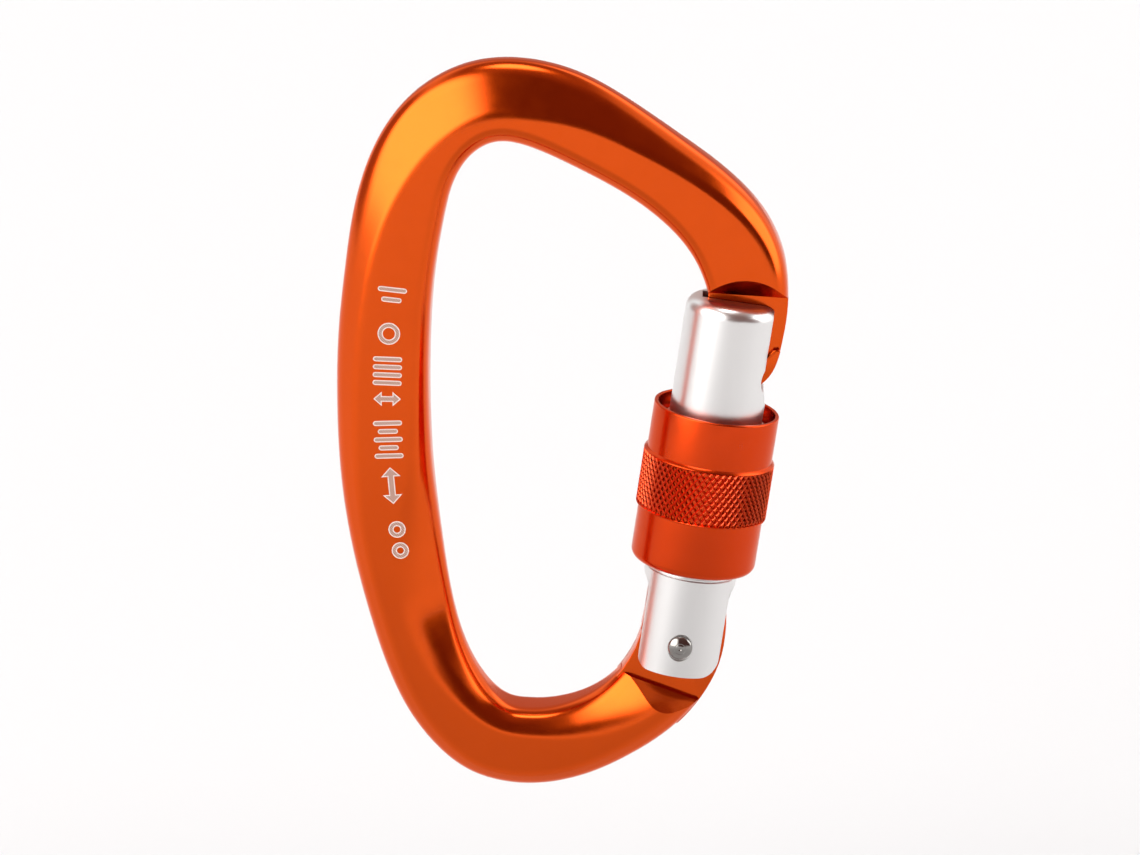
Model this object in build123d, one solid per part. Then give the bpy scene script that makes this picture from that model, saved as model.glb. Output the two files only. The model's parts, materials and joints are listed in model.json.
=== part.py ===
from build123d import *
import math
import os

os.makedirs("parts", exist_ok=True)

# Screw-lock carabiner. Millimetres, +Z up along the spine, +X from the spine to the gate,
# -Y is the front. The outlines are drawn about the middle of the body and moved at export so
# that the origin is the apex of the top basket.
ORIGIN_X = -8.0
ORIGIN_Z = 39.4

# body bar
BAR_T = 10.5
OUTER_ROUND = 3.0
INNER_ROUND = 2.2

# gate axis, leaning about the hinge rivet
PIVOT_X = 15.37
PIVOT_Z = -30.4
LEAN = 8.3
OPEN_ANGLE = 28.0

# gate barrel, heights along the gate axis from the rivet
GATE_R = 6.35
GATE_TOP = 48.2
GATE_BOTTOM = -4.2
GATE_EDGE = 1.7
FORK_HALF = 5.5
FORK_SLOT = 4.8
FORK_ROOF = 7.75
COLLAR_R = 7.2
COLLAR_FROM = 12.0
COLLAR_TO = 31.3
COLLAR_CHAMFER = 0.5
STEP_R = 6.5
STEP_FROM = 10.0

# keylock nose and the slot that takes it
NOSE_T = 3.0
NOSE_SLOT = 3.4
NOSE_SLOT_END = -4.35
NOSE_SLOT_FLOOR = 36.4
HEAD_T = 4.7
HEAD_POCKET = 5.2
HEAD_POCKET_TOP = 42.0
HEAD_POCKET_END = 1.4

# hinge tongue of the body
TONGUE_T = 4.4

# milled walls where the bar ends at the nose and at the tongue
WALL_RISE = 4.4
WALL_RUN = 5.0

# screw sleeve
SLEEVE_R = 8.55
KNURL_R = 9.0
SLEEVE_BORE_R = 8.02
SLEEVE_LAND_R = 7.28
SLEEVE_BOTTOM = 10.5
SLEEVE_TOP = 32.8
LAND_TOP = 16.0
KNURL_FROM = 18.15
KNURL_TO = 26.1

# friction ring, rivet, plunger and spring
RING_IN_R = 7.25
RING_OUT_R = 7.96
RING_H = 1.2
RING_CHAMFER = 0.12
RIVET_R = 1.45
RIVET_PLAY = 0.05
RIVET_PRESS = 0.02
RIVET_HEAD_R = 1.68
RIVET_SEAT = 6.08
RIVET_RIM = 0.2
RIVET_DOME = 0.55
SEAT_PLAY = 0.06
PLUNGER_R = 1.8
PLUNGER_TIP = 6.06
PLUNGER_TOP = 13.5
PLUNGER_PIN_R = 0.95
PLUNGER_PIN_H = 1.8
CAM_RISE = 3.0
CAM_PLAY = 0.04
CAM_ANGLES = (29, 22, 15, 8, 0, -8)
BORE_R = 1.87
BORE_TOP = 27.0
SPRING_R = 1.38
SPRING_WIRE_R = 0.25
SPRING_PITCH = 1.35
SPRING_GAP = 0.03

# how far cutters reach past the piece they cut
CLEAR = 30.0


def along(s, q):
    """A point of the body's drawing plane from its height s and offset q on the gate axis."""
    a = math.radians(LEAN)
    x = PIVOT_X + s * math.sin(a) + q * math.cos(a)
    z = PIVOT_Z + s * math.cos(a) - q * math.sin(a)
    return (x, z)


def place(shape):
    """Move a piece drawn upright about the rivet onto the leaning gate axis."""
    return Pos(PIVOT_X, 0, PIVOT_Z) * Rot(0, LEAN, 0) * shape


def slab(face, thickness):
    """Extrude a face of the drawing plane to this thickness, centred on the plane."""
    return extrude(Pos(0, thickness / 2, 0) * face, amount=thickness, dir=(0, -1, 0))


def outline(edges):
    """Stand a closed chain drawn in X and Y up into the X-Z plane."""
    return Plane.XZ * make_face(Wire(edges))


def save(shape, name):
    moved = Pos(-ORIGIN_X, 0, -ORIGIN_Z) * shape
    export_step(moved, "parts/" + name + ".step")
    box = moved.bounding_box()
    print(name, moved.is_valid, round(moved.volume, 1), box.min, box.max)


# ---- body outlines ----------------------------------------------------------------------
outer_points = [
    (28.3, 10.1), (29.4, 15.1), (29.5, 20.0), (28.5, 25.0), (26.3, 29.4), (23.1, 33.2),
    (15.2, 39.5), (7.0, 45.0), (-2.2, 49.2), (-7.5, 50.0), (-12.5, 49.4), (-17.5, 47.3),
    (-21.8, 44.0), (-25.3, 39.5), (-28.3, 32.0), (-30.1, 22.2), (-31.2, 12.3), (-31.5, 2.2),
    (-31.1, -7.7), (-29.7, -17.7), (-27.4, -27.4), (-24.3, -36.9), (-19.2, -45.5),
    (-13.5, -50.2), (-6.2, -51.9), (0.0, -51.2), (8.0, -47.8), (15.0, -42.7), (19.3, -37.0),
    (21.0, -33.0),
]
inner_points = [
    (17.8, 21.6), (15.3, 25.7), (9.2, 31.1), (1.6, 35.6), (-4.0, 38.4), (-8.0, 39.4),
    (-11.5, 38.7), (-14.2, 36.1), (-15.9, 32.3), (-17.4, 25.0), (-18.5, 15.8), (-18.9, 5.0),
    (-18.5, -6.6), (-17.5, -15.4), (-15.9, -24.3), (-13.5, -32.5), (-10.8, -38.0),
    (-7.5, -40.4), (-4.5, -40.8), (-0.9, -40.2), (3.5, -38.3), (7.0, -35.3), (9.0, -32.2),
]
nose_tip = along(37.4, 5.3)
nose_throat = along(48.8, -3.65)
tongue_out = along(4.0, 5.75)
tongue_in = along(0.4, -5.55)

# cam on top of the hinge tongue: the envelope of the plunger's domed tip
tip_centre = PLUNGER_TIP + PLUNGER_R


def cam_point(degrees):
    a = math.radians(degrees)
    reach = tip_centre - CAM_PLAY + CAM_RISE * a
    slope = math.atan2(CAM_RISE, reach)
    height = reach * math.cos(a) - PLUNGER_R * math.cos(a - slope)
    offset = -reach * math.sin(a) + PLUNGER_R * math.sin(a - slope)
    return height, offset


def opened(height, offset):
    """A point fixed to the body that has this height and offset on the fully open gate."""
    a = math.radians(OPEN_ANGLE)
    s = height * math.cos(a) + offset * math.sin(a)
    q = -height * math.sin(a) + offset * math.cos(a)
    return s, q


cam = [along(*cam_point(degrees)) for degrees in CAM_ANGLES]
stop_edge = along(*opened(7.05, -1.55))
stop_corner = along(5.72, -5.4)

outer_edge = Spline([nose_tip] + outer_points + [tongue_out])
inner_edge = Spline([nose_throat] + inner_points + [tongue_in])
nose_edge = Polyline(nose_throat, along(46.2, -3.5), along(43.6, -2.0), along(41.0, 0.4),
                     along(38.6, 1.9), along(37.3, 2.9), nose_tip)
tongue_edge = [Line(tongue_in, stop_corner), Line(stop_corner, stop_edge),
               Line(stop_edge, cam[0]), Spline(cam), Line(cam[-1], tongue_out)]
body_face = outline([outer_edge, inner_edge] + nose_edge.edges() + tongue_edge)

# ---- frame ------------------------------------------------------------------------------
# Full-depth bar: the outline trimmed straight across at the nose and at the hinge.
nose_trim = Plane.XZ * make_face(Polyline(
    along(48.77, -3.9), along(49.7, 7.6), along(40, 12), along(34, 8), along(34, -4),
    along(48.77, -3.9)))
hinge_trim = Plane.XZ * make_face(Polyline(
    along(-5.95, -7.3), along(-8.6, 5.8), along(-4, 12), along(12, 12), along(12, -12),
    along(-3, -10), along(-5.95, -7.3)))
bar = slab(body_face - nose_trim - hinge_trim, BAR_T)


def face_rims(solid, near_x):
    """The long edges of the bar's two faces whose middle lies near this x on the spine."""
    rims = []
    for edge in solid.edges().filter_by(GeomType.BSPLINE):
        middle = edge @ 0.5
        on_face = abs(abs(middle.Y) - BAR_T / 2) < 0.01
        if on_face and edge.length > 60 and abs(middle.X - near_x) < 3:
            rims.append(edge)
    return rims


bar = fillet(face_rims(bar, -31), OUTER_ROUND)
bar = fillet(face_rims(bar, -18.5), INNER_ROUND)


def wedge(point_a, point_b, depth, rise, reach):
    """Cutter for one sloped wall in front of a tongue; its foot runs from point_a to point_b."""
    ax, az = along(*point_a)
    bx, bz = along(*point_b)
    length = math.hypot(bx - ax, bz - az)
    tilt = math.degrees(math.atan2(-(bz - az), bx - ax))
    far = math.copysign(reach, -rise)
    front = -depth - WALL_RUN
    side = Plane.YZ * make_face(Polyline((-depth, far), (-depth, 0), (front, rise),
                                         (front, far), (-depth, far)))
    block = extrude(side, amount=length, both=True)
    middle = Pos((ax + bx) / 2, 0, (az + bz) / 2)
    return middle * Rot(0, tilt, 0) * block


nose_cut = wedge((48.77, -3.7), (49.62, 6.4), NOSE_T / 2, WALL_RISE, 16)
hinge_cut = wedge((-6.1, -6.5), (-8.2, 3.6), TONGUE_T / 2, -WALL_RISE, 24)
for cut in (nose_cut, hinge_cut):
    bar = bar - cut - mirror(cut, Plane.XZ)

nose_zone = Plane.XZ * make_face(Polyline(
    along(56, -7), along(56, 6), along(52, 9), along(34, 9), along(34, -6), along(56, -7)))
hinge_zone = Plane.XZ * make_face(Polyline(
    along(-11, -6), along(-11, 3.0), along(-8, 9), along(12, 9), along(12, -7.2),
    along(-5, -8), along(-11, -6)))
head_zone = Plane.XZ * make_face(Polyline(
    along(36, 1.9), along(39.6, 1.9), along(40.3, 4.85), along(42.5, 6.3), along(42.7, 9),
    along(36, 9), along(36, 1.9)))
nose = slab(body_face & nose_zone, NOSE_T)
tongue = slab(body_face & hinge_zone, TONGUE_T)
head = slab(body_face & head_zone, HEAD_T)
rivet_hole = Pos(PIVOT_X, 0, PIVOT_Z) * Rot(90, 0, 0) * Cylinder(
    RIVET_R + RIVET_PLAY, CLEAR)
frame = bar + nose + tongue + head - rivet_hole
save(frame, "frame")

# ---- gate -------------------------------------------------------------------------------
rows = [(0, GATE_BOTTOM), (GATE_R, GATE_BOTTOM), (GATE_R, STEP_FROM), (STEP_R, STEP_FROM),
        (STEP_R, COLLAR_FROM), (COLLAR_R - COLLAR_CHAMFER, COLLAR_FROM),
        (COLLAR_R, COLLAR_FROM + COLLAR_CHAMFER), (COLLAR_R, COLLAR_TO - COLLAR_CHAMFER),
        (COLLAR_R - COLLAR_CHAMFER, COLLAR_TO), (GATE_R, COLLAR_TO),
        (GATE_R, GATE_TOP - GATE_EDGE)]
corner = GATE_EDGE * (1 - math.sqrt(0.5))
top_round = ThreePointArc((GATE_R, GATE_TOP - GATE_EDGE), (GATE_R - corner, GATE_TOP - corner),
                          (GATE_R - GATE_EDGE, GATE_TOP))
close = Polyline((GATE_R - GATE_EDGE, GATE_TOP), (0, GATE_TOP), (0, GATE_BOTTOM))
gate = revolve(Plane.XZ * make_face(Polyline(*rows).edges() + [top_round] + close.edges()),
               Axis.Z)

# side flats of the fork, its rounded foot, and the long flat that clears the nose
low = GATE_BOTTOM
side_view = [Line((-4.1, low), (3.1, low)),
             ThreePointArc((3.1, low), (3.1 + 1.75, low + 0.73), (5.6, low + 2.5)),
             Line((5.6, low + 2.5), (FORK_HALF + 0.1, 6.6)),
             ThreePointArc((FORK_HALF + 0.1, 6.6), (5.9, 8.6), (6.8, 10.4)),
             Polyline((6.8, 10.4), (9, 10.4), (9, 50), (-9, 50), (-9, 10.4), (-6.8, 10.4)),
             ThreePointArc((-6.8, 10.4), (-5.8, 8.6), (-FORK_HALF, 6.6)),
             Line((-FORK_HALF, 6.6), (-FORK_HALF, low + 1.4)),
             ThreePointArc((-FORK_HALF, low + 1.4), (-5.09, low + 0.41), (-4.1, low))]
chain = []
for piece in side_view:
    chain += piece.edges()
gate = gate & slab(outline(chain), CLEAR)
shave = outline(Polyline((5.55, 50), (5.5, 41.5), (5.15, 39.5), (5.15, 36.8), (6.3, 34.0),
                         (9, 34), (9, 50), (5.55, 50)).edges())
gate = gate - slab(shave, CLEAR)



def slot(width, across_from, across_to, low_end, high_end):
    """Block this wide in depth, between two offsets and two heights on the gate axis."""
    middle = Pos((across_from + across_to) / 2, 0, (low_end + high_end) / 2)
    return middle * Box(across_to - across_from, width, high_end - low_end)


gate = gate - slot(FORK_SLOT, -CLEAR, CLEAR, -CLEAR, FORK_ROOF)
gate = gate - slot(NOSE_SLOT, NOSE_SLOT_END, CLEAR, NOSE_SLOT_FLOOR, GATE_TOP + CLEAR)
gate = gate - slot(HEAD_POCKET, HEAD_POCKET_END, CLEAR, NOSE_SLOT_FLOOR, HEAD_POCKET_TOP)
bore_h = BORE_TOP - FORK_ROOF + 1
gate = gate - Pos(0, 0, BORE_TOP - bore_h / 2) * Cylinder(BORE_R, bore_h)
gate = gate - Rot(90, 0, 0) * Cylinder(RIVET_R - RIVET_PRESS, CLEAR)
for side in (-1, 1):
    seat = Rot(90, 0, 0) * Cylinder(RIVET_HEAD_R + SEAT_PLAY, CLEAR)
    gate = gate - Pos(0, side * (RIVET_SEAT + CLEAR / 2), 0) * seat
save(place(gate), "gate")

# ---- lock sleeve ------------------------------------------------------------------------
foot = 1.1
bend = foot * (1 - math.sqrt(0.5))
wall = Polyline((SLEEVE_R, SLEEVE_BOTTOM + foot), (SLEEVE_R, KNURL_FROM - 0.15),
                (KNURL_R - 0.2, KNURL_FROM), (KNURL_R, KNURL_FROM + 0.3),
                (KNURL_R, KNURL_TO - 0.3), (KNURL_R - 0.2, KNURL_TO),
                (SLEEVE_R, KNURL_TO + 0.15), (SLEEVE_R, SLEEVE_TOP - 0.15),
                (SLEEVE_R - 0.15, SLEEVE_TOP), (SLEEVE_BORE_R + 0.1, SLEEVE_TOP),
                (SLEEVE_BORE_R, SLEEVE_TOP - 0.1), (SLEEVE_BORE_R, LAND_TOP),
                (SLEEVE_LAND_R, LAND_TOP), (SLEEVE_LAND_R, SLEEVE_BOTTOM + 0.5),
                (SLEEVE_LAND_R + 0.1, SLEEVE_BOTTOM), (SLEEVE_R - foot, SLEEVE_BOTTOM))
foot_round = ThreePointArc((SLEEVE_R - foot, SLEEVE_BOTTOM),
                           (SLEEVE_R - bend, SLEEVE_BOTTOM + bend),
                           (SLEEVE_R, SLEEVE_BOTTOM + foot))
sleeve = revolve(Plane.XZ * make_face(wall.edges() + [foot_round]), Axis.Z)
save(place(sleeve), "lock_sleeve")

# ---- friction ring ----------------------------------------------------------------------
ring = Cylinder(RING_OUT_R, RING_H) - Cylinder(RING_IN_R, RING_H + 1)
ring = chamfer(ring.edges(), RING_CHAMFER)
save(place(Pos(0, 0, LAND_TOP + 0.05 + RING_H / 2) * ring), "friction_ring")

# ---- hinge rivet ------------------------------------------------------------------------
rim_y = RIVET_SEAT + RIVET_RIM
crown_y = rim_y + RIVET_DOME
dome_r = (RIVET_HEAD_R ** 2 + RIVET_DOME ** 2) / (2 * RIVET_DOME)
mid_r = RIVET_HEAD_R / 2
mid_y = crown_y - dome_r + math.sqrt(dome_r ** 2 - mid_r ** 2)
shank = Polyline((RIVET_HEAD_R, -rim_y), (RIVET_HEAD_R, -RIVET_SEAT), (RIVET_R, -RIVET_SEAT),
                 (RIVET_R, RIVET_SEAT), (RIVET_HEAD_R, RIVET_SEAT), (RIVET_HEAD_R, rim_y))
front_dome = ThreePointArc((0, -crown_y), (mid_r, -mid_y), (RIVET_HEAD_R, -rim_y))
back_dome = ThreePointArc((RIVET_HEAD_R, rim_y), (mid_r, mid_y), (0, crown_y))
core = Line((0, crown_y), (0, -crown_y))
rivet = revolve(outline([front_dome] + shank.edges() + [back_dome, core]), Axis.Z)
rivet = Rot(90, 0, 0) * rivet
save(Pos(PIVOT_X, 0, PIVOT_Z) * rivet, "hinge_rivet")

# ---- spring plunger ---------------------------------------------------------------------
plunger = Pos(0, 0, tip_centre) * Sphere(PLUNGER_R)
body_h = PLUNGER_TOP - tip_centre
plunger = plunger + Pos(0, 0, tip_centre + body_h / 2) * Cylinder(PLUNGER_R, body_h)
pin = Cylinder(PLUNGER_PIN_R, PLUNGER_PIN_H)
plunger = plunger + Pos(0, 0, PLUNGER_TOP + PLUNGER_PIN_H / 2) * pin
save(place(plunger), "spring_plunger")

# ---- return spring ----------------------------------------------------------------------
coil_low = PLUNGER_TOP + SPRING_WIRE_R + SPRING_GAP
coil_high = BORE_TOP - SPRING_WIRE_R - SPRING_GAP
path = Helix(SPRING_PITCH, coil_high - coil_low, SPRING_R)
wire_plane = Plane(origin=path @ 0, z_dir=path % 0)
spring = sweep(wire_plane * Circle(SPRING_WIRE_R), path=path)
save(place(Pos(0, 0, coil_low) * spring), "return_spring")
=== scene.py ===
import json
import math

import bmesh
import bpy
import numpy as np
from mathutils import Matrix, Vector


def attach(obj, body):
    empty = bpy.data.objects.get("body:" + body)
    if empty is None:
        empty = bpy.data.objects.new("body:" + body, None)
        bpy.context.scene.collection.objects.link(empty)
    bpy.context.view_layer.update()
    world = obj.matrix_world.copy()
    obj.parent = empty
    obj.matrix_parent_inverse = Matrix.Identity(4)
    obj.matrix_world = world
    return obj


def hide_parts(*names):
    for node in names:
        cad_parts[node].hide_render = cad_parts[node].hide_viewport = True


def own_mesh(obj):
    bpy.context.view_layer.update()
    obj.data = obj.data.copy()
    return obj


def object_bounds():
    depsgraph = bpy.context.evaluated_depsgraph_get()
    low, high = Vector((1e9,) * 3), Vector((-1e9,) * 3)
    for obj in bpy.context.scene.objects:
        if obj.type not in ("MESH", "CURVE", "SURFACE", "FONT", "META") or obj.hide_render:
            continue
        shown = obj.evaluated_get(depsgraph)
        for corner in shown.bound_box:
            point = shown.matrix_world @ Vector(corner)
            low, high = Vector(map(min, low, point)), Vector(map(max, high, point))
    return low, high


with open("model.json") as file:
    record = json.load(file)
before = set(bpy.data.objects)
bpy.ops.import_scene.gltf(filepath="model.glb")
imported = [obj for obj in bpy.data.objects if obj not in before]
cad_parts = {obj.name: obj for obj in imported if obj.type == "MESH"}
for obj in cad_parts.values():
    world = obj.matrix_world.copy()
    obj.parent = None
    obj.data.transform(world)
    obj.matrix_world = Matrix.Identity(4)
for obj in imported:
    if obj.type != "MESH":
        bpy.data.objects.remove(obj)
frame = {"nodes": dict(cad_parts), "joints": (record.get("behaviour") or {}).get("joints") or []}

cad_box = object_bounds()

MM = 0.001

# The shapes are drawn in millimetres in the bar's middle plane. The frame's origin lies here on it.
DRAWN_X = -8.0
DRAWN_Z = 39.4

joints = {joint["name"]: joint for joint in frame["joints"]}
PIVOT = Vector(joints["gate_open"]["pos_m"])
AXIS = Vector(joints["sleeve_turn"]["axis"]).normalized()
LEAN = math.atan2(AXIS.x, AXIS.z)


# ---------------------------------------------------------------- mesh helpers
def drawn(x, y, z):
    """Millimetres of the drawing plane to metres of the frame."""
    return ((x - DRAWN_X) * MM, y * MM, (z - DRAWN_Z) * MM)


def gate_point(s, q):
    """Drawing-plane point at height s and offset q on the gate axis."""
    pivot_x = PIVOT.x / MM + DRAWN_X
    pivot_z = PIVOT.z / MM + DRAWN_Z
    x = pivot_x + s * math.sin(LEAN) + q * math.cos(LEAN)
    z = pivot_z + s * math.cos(LEAN) - q * math.sin(LEAN)
    return (x, z)


def new_piece(name, vertices, faces):
    mesh = bpy.data.meshes.new(name)
    mesh.from_pydata([tuple(v) for v in vertices], [], faces)
    mesh.validate()
    piece = bpy.data.objects.new(name, mesh)
    bpy.context.scene.collection.objects.link(piece)
    face_outwards(piece)
    return piece


def face_outwards(piece):
    """Merge doubles, drop edges without a face and point every face outwards."""
    work = bmesh.new()
    work.from_mesh(piece.data)
    bmesh.ops.remove_doubles(work, verts=work.verts, dist=1e-7)
    loose = [edge for edge in work.edges if not edge.link_faces]
    bmesh.ops.delete(work, geom=loose, context="EDGES")
    bmesh.ops.recalc_face_normals(work, faces=work.faces)
    work.to_mesh(piece.data)
    work.free()


def smooth(piece, angle):
    """Shade a piece smooth, apart from edges sharper than this angle in degrees."""
    for face in piece.data.polygons:
        face.use_smooth = True
    piece.data.set_sharp_from_angle(angle=math.radians(angle))


def bake_modifiers(piece):
    """Turn a piece and its live modifiers into a plain mesh."""
    bpy.context.view_layer.update()
    graph = bpy.context.evaluated_depsgraph_get()
    mesh = bpy.data.meshes.new_from_object(piece.evaluated_get(graph))
    piece.modifiers.clear()
    piece.data = mesh


def boolean(piece, other, operation):
    step = piece.modifiers.new(operation.lower(), "BOOLEAN")
    step.operation = operation
    step.solver = "EXACT"
    step.object = other
    bake_modifiers(piece)
    bpy.data.objects.remove(other)


def lofted(name, vertices, rings):
    """Closed tube through rings of vertices that follow each other, with flat ends."""
    around = len(vertices) // rings
    faces = [tuple(range(around)), tuple(range(len(vertices) - 1, len(vertices) - around - 1, -1))]
    for i in range(rings - 1):
        a, b = i * around, (i + 1) * around
        for j in range(around):
            k = (j + 1) % around
            faces.append((a + j, a + k, b + k, b + j))
    return new_piece(name, vertices, faces)


def revolved(name, vertices, around):
    """Closed body from copies of one closed profile that follow each other round an axis."""
    count = len(vertices) // around
    faces = []
    for i in range(around):
        a, b = i * count, (i + 1) % around * count
        for j in range(count):
            k = (j + 1) % count
            faces.append((a + j, b + j, b + k, a + k))
    return new_piece(name, vertices, faces)


def prism(name, outline, low, high, edge=0.0):
    """Plate with a drawing-plane outline, from depth low to depth high, its rims rounded by edge."""
    count = len(outline)
    vertices = [drawn(x, low, z) for x, z in outline] + [drawn(x, high, z) for x, z in outline]
    faces = [tuple(range(count)), tuple(range(2 * count - 1, count - 1, -1))]
    for i in range(count):
        j = (i + 1) % count
        faces.append((i, j, count + j, count + i))
    piece = new_piece(name, vertices, faces)
    if edge:
        step = piece.modifiers.new("edge", "BEVEL")
        step.width = edge * MM
        step.segments = 3
        step.limit_method = "ANGLE"
        step.angle_limit = math.radians(50)
        bake_modifiers(piece)
    return piece


def arc(centre_u, centre_v, radius, start, end, steps=8):
    """Points of an arc in an outline or a profile, angles in degrees from its first direction."""
    points = []
    for i in range(steps + 1):
        a = math.radians(start + (end - start) * i / steps)
        points.append((centre_u + radius * math.cos(a), centre_v + radius * math.sin(a)))
    return points


def cubic(knots, values, at):
    """Natural cubic spline through values at knots, read at the places in at."""
    knots = np.asarray(knots, float)
    values = np.asarray(values, float)
    count = len(knots)
    gap = np.diff(knots)
    system = np.eye(count)
    right = np.zeros_like(values)
    slopes = np.diff(values, axis=0) / gap[:, None]
    for i in range(1, count - 1):
        system[i, i - 1:i + 2] = gap[i - 1], 2 * (gap[i - 1] + gap[i]), gap[i]
        right[i] = 6 * (slopes[i] - slopes[i - 1])
    bend = np.linalg.solve(system, right)
    cell = np.clip(np.searchsorted(knots, at, side="right") - 1, 0, count - 2)
    step = gap[cell][:, None]
    a = (knots[cell + 1][:, None] - at[:, None]) / step
    b = 1 - a
    curve = (a ** 3 - a) * bend[cell] + (b ** 3 - b) * bend[cell + 1]
    return a * values[cell] + b * values[cell + 1] + curve * step ** 2 / 6


# ---------------------------------------------------------------- body
HALF_DEPTH = 5.25
STATIONS = 300
FLANK_BLEND = 9

# How far the four rounded corners of a section reach, from the outer edge to the inner one.
OUTER_EDGE_ROUND = 2.5
OUTER_FACE_ROUND = 0.9
INNER_FACE_ROUND = 0.8
INNER_EDGE_ROUND = 1.9

# The most of a side that one corner may take, where the side ends the outline and elsewhere.
END_SIDE_SHARE = 0.8
SIDE_SHARE = 0.46

# Half thickness of the tongues that the bar is milled down to, and of the catch on the nose.
NOSE_HALF = 1.5
CATCH_HALF = 2.35
HINGE_HALF = 2.2

# Shelf between the hinge tongue and its wall, and how the walls curve outwards.
HINGE_SHELF = 0.85
WALL_CURVE = 0.8

# Rounding of the tongues' rims, and the size of the cutters that mill the ends.
TONGUE_EDGE = 0.15
NOSE_EDGE = 0.18
CUTTER_REACH = 30
CUTTER_HALF_WIDTH = 14.0
CUTTER_STOPS = 57

# One row per section, from the nose round the spine to the hinge: the bar's outer and inner
# edge in the drawing plane, then how far the outer and the inner flank cut into the front
# face and how far they fall back at the edge.
SECTIONS = [
    (28.6, 10.5, 19.6, 13.0, 1.6, 1.0, 1.6, 1.0),
    (29.4, 15.1, 19.1, 16.5, 1.6, 1.0, 1.6, 1.0),
    (29.5, 20.0, 18.6, 19.3, 1.7, 1.0, 1.8, 1.0),
    (28.5, 25.0, 17.8, 21.6, 1.9, 1.0, 2.0, 1.1),
    (26.3, 29.4, 16.9, 23.4, 2.2, 1.1, 2.3, 1.3),
    (23.1, 33.2, 15.3, 25.7, 2.5, 1.3, 2.5, 1.5),
    (15.2, 39.5, 9.2, 31.1, 3.2, 1.6, 2.7, 1.8),
    (7.05, 45.1, 1.6, 35.4, 4.6, 1.7, 2.9, 2.0),
    (-2.2, 49.3, -5.4, 38.5, 6.6, 1.8, 3.0, 2.1),
    (-12.2, 49.65, -9.9, 39.0, 6.8, 1.8, 3.0, 2.1),
    (-21.1, 44.95, -13.4, 36.8, 6.9, 1.6, 3.0, 2.0),
    (-26.7, 36.7, -15.8, 32.3, 5.8, 1.5, 3.0, 1.9),
    (-28.3, 32.0, -16.6, 29.1, 4.9, 1.4, 2.9, 1.8),
    (-30.1, 22.2, -18.1, 20.5, 3.5, 1.4, 2.8, 1.8),
    (-31.2, 12.3, -18.8, 11.3, 2.9, 1.4, 2.8, 1.8),
    (-31.5, 2.2, -18.9, 2.2, 2.7, 1.6, 2.7, 1.9),
    (-31.1, -7.7, -18.5, -6.6, 2.6, 2.3, 2.6, 2.3),
    (-29.7, -17.7, -17.5, -15.4, 2.5, 4.4, 2.5, 3.0),
    (-27.4, -27.4, -16.2, -24.3, 2.5, 5.6, 2.5, 3.6),
    (-24.3, -36.9, -13.9, -32.6, 2.5, 4.0, 2.5, 3.1),
    (-19.2, -45.5, -10.3, -38.6, 2.6, 2.7, 2.5, 2.3),
    (-13.5, -50.2, -8.0, -40.3, 2.6, 2.3, 2.5, 1.9),
    (-6.2, -51.9, -5.8, -40.7, 2.6, 2.3, 2.5, 1.7),
    (0.3, -51.1, -2.9, -40.6, 2.6, 2.6, 2.5, 1.8),
    (8.0, -47.8, 2.7, -38.8, 2.6, 3.7, 2.4, 2.3),
    (15.0, -42.7, 7.2, -35.1, 2.4, 6.2, 2.2, 2.8),
    (18.9, -37.8, 9.0, -32.2, 2.0, 7.6, 2.0, 2.9),
    (20.9, -33.3, 9.7, -30.2, 1.8, 8.0, 1.8, 2.9),
    (21.7, -27.3, 9.9, -27.5, 1.6, 8.0, 1.6, 2.9),
]


def rounded(corners, reaches, steps):
    """Open outline with its inner corners rounded by quadratic arcs."""
    path = [corners[0]]
    last = len(corners) - 2
    for k, reach in enumerate(reaches, 1):
        corner = corners[k]
        into = corners[k - 1] - corner
        out = corners[k + 1] - corner
        into_share = END_SIDE_SHARE if k == 1 else SIDE_SHARE
        out_share = END_SIDE_SHARE if k == last else SIDE_SHARE
        start = corner + into * min(reach / np.linalg.norm(into), into_share)
        end = corner + out * min(reach / np.linalg.norm(out), out_share)
        for i in range(steps + 1):
            t = i / steps
            path.append((1 - t) ** 2 * start + 2 * t * (1 - t) * corner + t * t * end)
    path.append(corners[-1])
    return path


def bar_section(width, outer_flank, inner_flank, outer_fall, inner_fall):
    """Front half of a section as (distance from the outer edge, depth) points."""
    corners = [
        (0.0, 0.0),
        (0.0, HALF_DEPTH - outer_fall),
        (outer_flank, HALF_DEPTH),
        (width - inner_flank, HALF_DEPTH),
        (width, HALF_DEPTH - inner_fall),
        (width, 0.0),
    ]
    reaches = (OUTER_EDGE_ROUND, OUTER_FACE_ROUND, max(INNER_FACE_ROUND, 0.5 * inner_flank),
               INNER_EDGE_ROUND)
    return rounded([np.array(c) for c in corners], reaches, 8)


def bar_travel():
    """Section rows, and how far along the middle of the bar each of them lies."""
    rows = np.array(SECTIONS)
    middle = (rows[:, 0:2] + rows[:, 2:4]) / 2
    return rows, np.r_[0, np.cumsum(np.linalg.norm(np.diff(middle, axis=0), axis=1))]


def soften(columns, width):
    """Running mean along the bar, so that the flanks widen without a kink."""
    kernel = np.ones(width) / width
    padded = np.pad(columns, ((width // 2, width // 2), (0, 0)), mode="edge")
    return np.stack([np.convolve(padded[:, k], kernel, "valid")
                     for k in range(columns.shape[1])], 1)


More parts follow.
